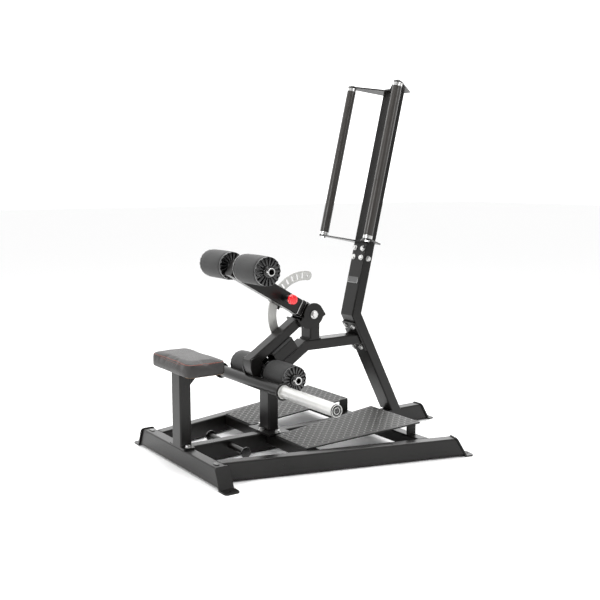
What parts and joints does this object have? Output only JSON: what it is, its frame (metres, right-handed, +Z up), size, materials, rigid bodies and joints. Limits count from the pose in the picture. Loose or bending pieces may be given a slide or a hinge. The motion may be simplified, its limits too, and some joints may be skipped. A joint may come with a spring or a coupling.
{
  "type": "hip thrust machine",
  "caption": "Plate-loaded hip thrust machine: seat, splayed base with checker-plate treads, weight lever with sleeves, pinned hip-roller arm and tall turning grips.",
  "frame": {"origin": "on the floor, in the middle plane, midway between the seat's front edge and the rear foot's tip", "axes": "+X from the seat to the upright, +Y to the user's left, +Z up"},
  "size_m": [1.4, 1.212, 1.5713],
  "materials": {
    "black_paint": "semi-gloss powder coat",
    "checker_plate": "semi-gloss powder coat on checker plate",
    "roller_foam": "matt closed-cell foam",
    "cap_plastic": "glossy moulded plastic",
    "sleeve_steel": "satin zinc plate",
    "arc_steel": "satin",
    "knob_red": "glossy",
    "zinc": "bright zinc",
    "bronze": "sintered",
    "grip_rubber": "satin",
    "seat_leather": "grained black vinyl with red-brown thread",
    "plywood": "raw",
    "stop_rubber": "matt",
    "label_metal": "dark printed plate, blank"
  },
  "bodies": {
    "frame": {"band_peg_bar": "black_paint", "band_peg_caps": "cap_plastic", "base_feet": "black_paint", "centre_rail": "black_paint", "diagonal_beam": "black_paint", "frame_bolts": "zinc", "front_crossbar": "black_paint", "grip_brackets": "black_paint", "grip_spindles": "zinc", "label_plate": "label_metal", "left_side_rail": "black_paint", "left_tread": "checker_plate", "lower_axle": "black_paint", "lower_axle_rings": "zinc", "lower_upright": "black_paint", "mid_crossbars": "black_paint", "mid_post": "black_paint", "pivot_post": "black_paint", "pivot_shaft": "zinc", "rear_crossbars": "black_paint", "rest_block": "black_paint", "rest_pad": "stop_rubber", "right_side_rail": "black_paint", "right_tread": "checker_plate", "seat_board": "plywood", "seat_pad": "seat_leather", "seat_post": "black_paint", "splice_insert": "black_paint", "top_beam": "black_paint", "tube_plugs": "cap_plastic", "upper_mast": "black_paint"},
    "lever": {"lever_tube": "black_paint", "lever_yoke": "black_paint", "lever_foot": "black_paint", "round_crossbar": "black_paint", "left_weight_sleeve": "sleeve_steel", "right_weight_sleeve": "sleeve_steel", "sleeve_caps": "cap_plastic", "arc_plate": "arc_steel"},
    "hip_arm": {"arm_tube": "black_paint", "arm_bushes": "bronze", "pin_barrel": "black_paint", "pin_spring": "zinc", "arc_keeper": "black_paint", "upper_axle": "black_paint", "upper_axle_rings": "zinc"},
    "pop_pin": {"pop_pin": "zinc", "pin_knob": "knob_red"},
    "upper_left_roller": {"upper_left_foam": "roller_foam", "upper_left_caps": "cap_plastic"},
    "upper_right_roller": {"upper_right_foam": "roller_foam", "upper_right_caps": "cap_plastic"},
    "lower_left_roller": {"lower_left_foam": "roller_foam", "lower_left_caps": "cap_plastic"},
    "lower_right_roller": {"lower_right_foam": "roller_foam", "lower_right_caps": "cap_plastic"},
    "left_grip": {"left_grip": "grip_rubber", "left_grip_collars": "zinc"},
    "right_grip": {"right_grip": "grip_rubber", "right_grip_collars": "zinc"}
  },
  "joints": [
    {"name": "lever_lift", "type": "hinge", "parent": "frame", "child": "lever", "pos_m": [-0.022, 0, 0.571], "axis": [0, 1, 0], "range_deg": [0, 45]},
    {"name": "arm_select", "type": "hinge", "parent": "lever", "child": "hip_arm", "pos_m": [-0.022, 0, 0.571], "axis": [0, 1, 0], "range_deg": [-9.7, 29.1]},
    {"name": "pin_engage", "type": "slide", "parent": "hip_arm", "child": "pop_pin", "axis": [0, 1, 0], "range_m": [0, 0.012]},
    {"name": "upper_left_roller_spin", "type": "hinge", "parent": "hip_arm", "child": "upper_left_roller", "pos_m": [-0.3698, 0, 0.79259], "axis": [0, 1, 0], "continuous": true},
    {"name": "upper_right_roller_spin", "type": "hinge", "parent": "hip_arm", "child": "upper_right_roller", "pos_m": [-0.3698, 0, 0.79259], "axis": [0, 1, 0], "continuous": true},
    {"name": "lower_left_roller_spin", "type": "hinge", "parent": "frame", "child": "lower_left_roller", "pos_m": [-0.235, 0, 0.343], "axis": [0, 1, 0], "continuous": true},
    {"name": "lower_right_roller_spin", "type": "hinge", "parent": "frame", "child": "lower_right_roller", "pos_m": [-0.235, 0, 0.343], "axis": [0, 1, 0], "continuous": true},
    {"name": "left_grip_spin", "type": "hinge", "parent": "frame", "child": "left_grip", "pos_m": [0.19186, 0.1594, 0.96699], "axis": [0.2317, 0, 0.9728], "continuous": true},
    {"name": "right_grip_spin", "type": "hinge", "parent": "frame", "child": "right_grip", "pos_m": [0.19186, -0.1594, 0.96699], "axis": [0.2317, 0, 0.9728], "continuous": true}
  ]
}
